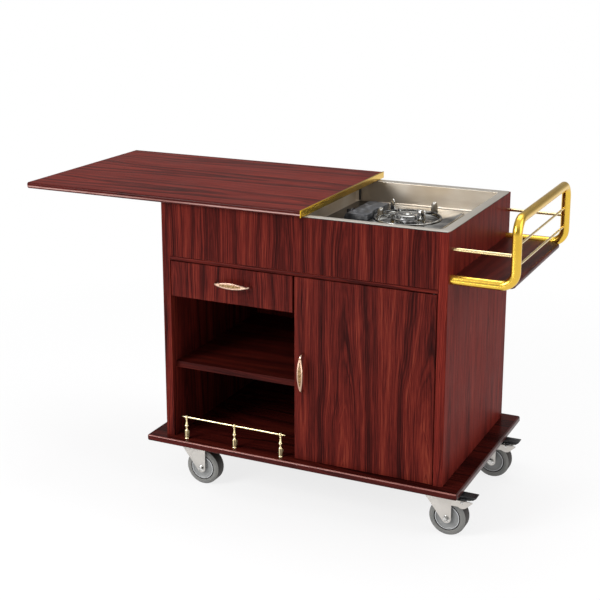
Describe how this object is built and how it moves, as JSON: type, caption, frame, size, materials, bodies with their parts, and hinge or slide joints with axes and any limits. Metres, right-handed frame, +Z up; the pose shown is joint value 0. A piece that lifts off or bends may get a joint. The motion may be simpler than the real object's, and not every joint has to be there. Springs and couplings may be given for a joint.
{
  "type": "flambe service trolley",
  "caption": "Wooden service cart with a sliding top over a steel gas-burner well, a drawer, a door, open shelves, brass rails, a push handle and braked castors.",
  "frame": {"origin": "on the floor, under the middle of the whole object's box with the top slid open", "axes": "+Z up, +X towards the push handle, -Y towards the door and drawer side"},
  "size_m": [1.4424, 0.594, 0.8825],
  "materials": {
    "mahogany": "satin laminate with dark vertical grain",
    "inner_board": "dark satin laminate inside the cabinet",
    "drawer_wood": "sealed pale plywood",
    "well_steel": "fine brushed",
    "stove_steel": "bright pressed steel",
    "burner_alloy": "cast, matt",
    "housing_grey": "hammered grey enamel",
    "gold_tube": "polished golden lacquer",
    "polished_brass": "bright polished",
    "pull_inlay": "golden brown enamel",
    "zinc": "bright zinc",
    "hub_plastic": "grey nylon",
    "tyre": "grey rubber",
    "black_plastic": "black moulded",
    "catch_plastic": "grey moulded"
  },
  "bodies": {
    "cabinet": {"base_plate": "mahogany", "left_side_panel": "mahogany", "right_side_panel": "mahogany", "back_panel": "mahogany", "front_fascia": "mahogany", "deck_board": "mahogany", "middle_partition": "inner_board", "compartment_shelf": "inner_board", "left_top_board": "inner_board", "well_support_board": "inner_board", "stainless_well": "well_steel", "top_guide_rails": "zinc", "drawer_runner_rails": "zinc", "door_pivot_bushes": "polished_brass", "door_catch": "catch_plastic", "gallery_posts": "polished_brass", "gallery_rail": "polished_brass", "push_handle": "gold_tube", "side_rods": "polished_brass", "end_rods": "polished_brass", "side_shelf": "mahogany", "stove_plate": "stove_steel", "stove_housing": "housing_grey", "burner_body": "burner_alloy", "burner_cap": "burner_alloy", "pan_support": "stove_steel", "gas_inlet": "polished_brass", "castor_plates": "zinc", "castor_bolts": "zinc"},
    "sliding_top": {"top_board": "mahogany", "top_channels": "zinc", "top_end_strip": "gold_tube"},
    "door": {"door_panel": "mahogany", "door_pull": "polished_brass", "door_pull_inlay": "pull_inlay", "door_pivot_pins": "zinc", "door_strike": "zinc"},
    "drawer": {"drawer_front": "mahogany", "drawer_box": "drawer_wood", "drawer_bottom": "drawer_wood", "drawer_pull": "polished_brass", "drawer_pull_inlay": "pull_inlay", "drawer_runner_slides": "zinc"},
    "knob": {"gas_knob": "black_plastic"},
    "castor_front_left": {"fork_front_left": "zinc"},
    "wheel_front_left": {"hub_front_left": "hub_plastic", "tyre_front_left": "tyre"},
    "castor_front_right": {"fork_front_right": "zinc"},
    "wheel_front_right": {"hub_front_right": "hub_plastic", "tyre_front_right": "tyre"},
    "castor_back_left": {"fork_back_left": "zinc"},
    "wheel_back_left": {"hub_back_left": "hub_plastic", "tyre_back_left": "tyre"},
    "castor_back_right": {"fork_back_right": "zinc"},
    "wheel_back_right": {"hub_back_right": "hub_plastic", "tyre_back_right": "tyre"},
    "pedal_front": {"brake_pedal_front": "black_plastic"},
    "pedal_back": {"brake_pedal_back": "black_plastic"}
  },
  "joints": [
    {"name": "top_slide", "type": "slide", "parent": "cabinet", "child": "sliding_top", "axis": [1, 0, 0], "range_m": [0, 0.415]},
    {"name": "door_hinge", "type": "hinge", "parent": "cabinet", "child": "door", "pos_m": [0.50775, -0.263, 0.406], "axis": [0, 0, 1], "range_deg": [0, 105]},
    {"name": "drawer_slide", "type": "slide", "parent": "cabinet", "child": "drawer", "axis": [0, -1, 0], "range_m": [0, 0.35]},
    {"name": "gas_knob_turn", "type": "hinge", "parent": "cabinet", "child": "knob", "pos_m": [0.17575, -0.008, 0.786], "axis": [-1, 0, 0], "range_deg": [0, 90]},
    {"name": "front_left_swivel", "type": "hinge", "parent": "cabinet", "child": "castor_front_left", "pos_m": [-0.22425, -0.224, 0.11], "axis": [0, 0, 1], "continuous": true},
    {"name": "front_left_roll", "type": "hinge", "parent": "castor_front_left", "child": "wheel_front_left", "pos_m": [-0.18625, -0.224, 0.051], "axis": [0, 1, 0], "continuous": true},
    {"name": "front_right_swivel", "type": "hinge", "parent": "cabinet", "child": "castor_front_right", "pos_m": [0.51375, -0.224, 0.11], "axis": [0, 0, 1], "continuous": true},
    {"name": "front_right_roll", "type": "hinge", "parent": "castor_front_right", "child": "wheel_front_right", "pos_m": [0.55175, -0.224, 0.051], "axis": [0, 1, 0], "continuous": true},
    {"name": "back_left_swivel", "type": "hinge", "parent": "cabinet", "child": "castor_back_left", "pos_m": [-0.22425, 0.177, 0.11], "axis": [0, 0, 1], "continuous": true},
    {"name": "back_left_roll", "type": "hinge", "parent": "castor_back_left", "child": "wheel_back_left", "pos_m": [-0.18625, 0.177, 0.051], "axis": [0, 1, 0], "continuous": true},
    {"name": "back_right_swivel", "type": "hinge", "parent": "cabinet", "child": "castor_back_right", "pos_m": [0.51375, 0.177, 0.11], "axis": [0, 0, 1], "continuous": true},
    {"name": "back_right_roll", "type": "hinge", "parent": "castor_back_right", "child": "wheel_back_right", "pos_m": [0.55175, 0.177, 0.051], "axis": [0, 1, 0], "continuous": true},
    {"name": "front_brake_press", "type": "hinge", "parent": "castor_front_right", "child": "pedal_front", "pos_m": [0.59375, -0.224, 0.105], "axis": [0, 1, 0], "range_deg": [0, 12]},
    {"name": "back_brake_press", "type": "hinge", "parent": "castor_back_right", "child": "pedal_back", "pos_m": [0.59375, 0.177, 0.105], "axis": [0, 1, 0], "range_deg": [0, 12]}
  ]
}
